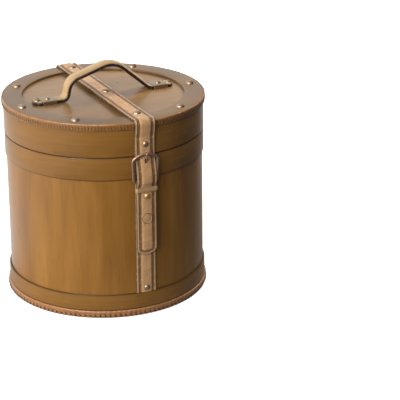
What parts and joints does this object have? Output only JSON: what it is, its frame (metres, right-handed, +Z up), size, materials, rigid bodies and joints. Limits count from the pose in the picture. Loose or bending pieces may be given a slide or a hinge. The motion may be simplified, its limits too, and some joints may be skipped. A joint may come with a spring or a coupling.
{
  "type": "hat box",
  "caption": "Round bentwood hat box with a hinged lid, a leather strap with a buckled magnetic flap, and a top handle, for storing hats.",
  "frame": {"origin": "centre of the underside of the base board, on the surface that the box stands on", "axes": "+Z up, -Y towards the buckled flap at the front, X along the handle, with +X to the right seen from the front"},
  "size_m": [0.3014, 0.3112, 0.3441],
  "materials": {
    "veneer": "stained birch veneer, satin lacquer",
    "inner_wood": "plain birch plywood, unlacquered",
    "strap_leather": "aged waxed leather, stitched edges",
    "handle_leather": "padded handle leather, polished by use",
    "hem_leather": "dark edging leather, whip stitched",
    "antique_bronze": "antique plated, worn bright on the crowns",
    "old_brass": "old brass, dull",
    "pewter": "cast buckle, antique pewter plating",
    "plated_steel": "nickel plated strip, worn",
    "lining_cloth": "woven cotton lining cloth",
    "magnet_steel": "nickel plated magnet and plate"
  },
  "bodies": {
    "tub": {"body_wall": "veneer", "base_board": "inner_wood", "collar_band": "veneer", "foot_band": "veneer", "foot_hem": "hem_leather", "neck_ring": "inner_wood", "base_lining": "lining_cloth", "side_lining": "lining_cloth", "lower_strap": "strap_leather", "magnet_plate": "magnet_steel", "lower_strap_rivet": "antique_bronze", "back_strap": "strap_leather", "back_strap_rivets": "antique_bronze"},
    "lid": {"lid_skirt": "veneer", "lid_panel": "veneer", "lid_ring": "veneer", "lid_lining": "lining_cloth", "lid_hem": "hem_leather", "lid_strap": "strap_leather", "handle_strap": "handle_leather", "ring_rivets": "antique_bronze", "strap_rivets": "antique_bronze", "skirt_rivets": "antique_bronze", "handle_rivets_left": "antique_bronze", "handle_rivets_right": "antique_bronze", "handle_saddle_left": "plated_steel", "handle_saddle_right": "plated_steel"},
    "flap": {"flap_strap": "strap_leather", "chape_rivet": "old_brass", "flap_disc": "strap_leather", "flap_magnet": "magnet_steel", "buckle_frame": "pewter", "buckle_prong": "pewter", "buckle_chape": "strap_leather", "keeper_loop": "strap_leather"}
  },
  "joints": [
    {"name": "lid_hinge", "type": "hinge", "parent": "tub", "child": "lid", "pos_m": [0, 0.1512, 0.2467], "axis": [-1, 0, 0], "range_deg": [0, 110]},
    {"name": "flap_hinge", "type": "hinge", "parent": "lid", "child": "flap", "pos_m": [0, -0.1512, 0.258], "axis": [-1, 0, 0], "range_deg": [0, 110]}
  ]
}
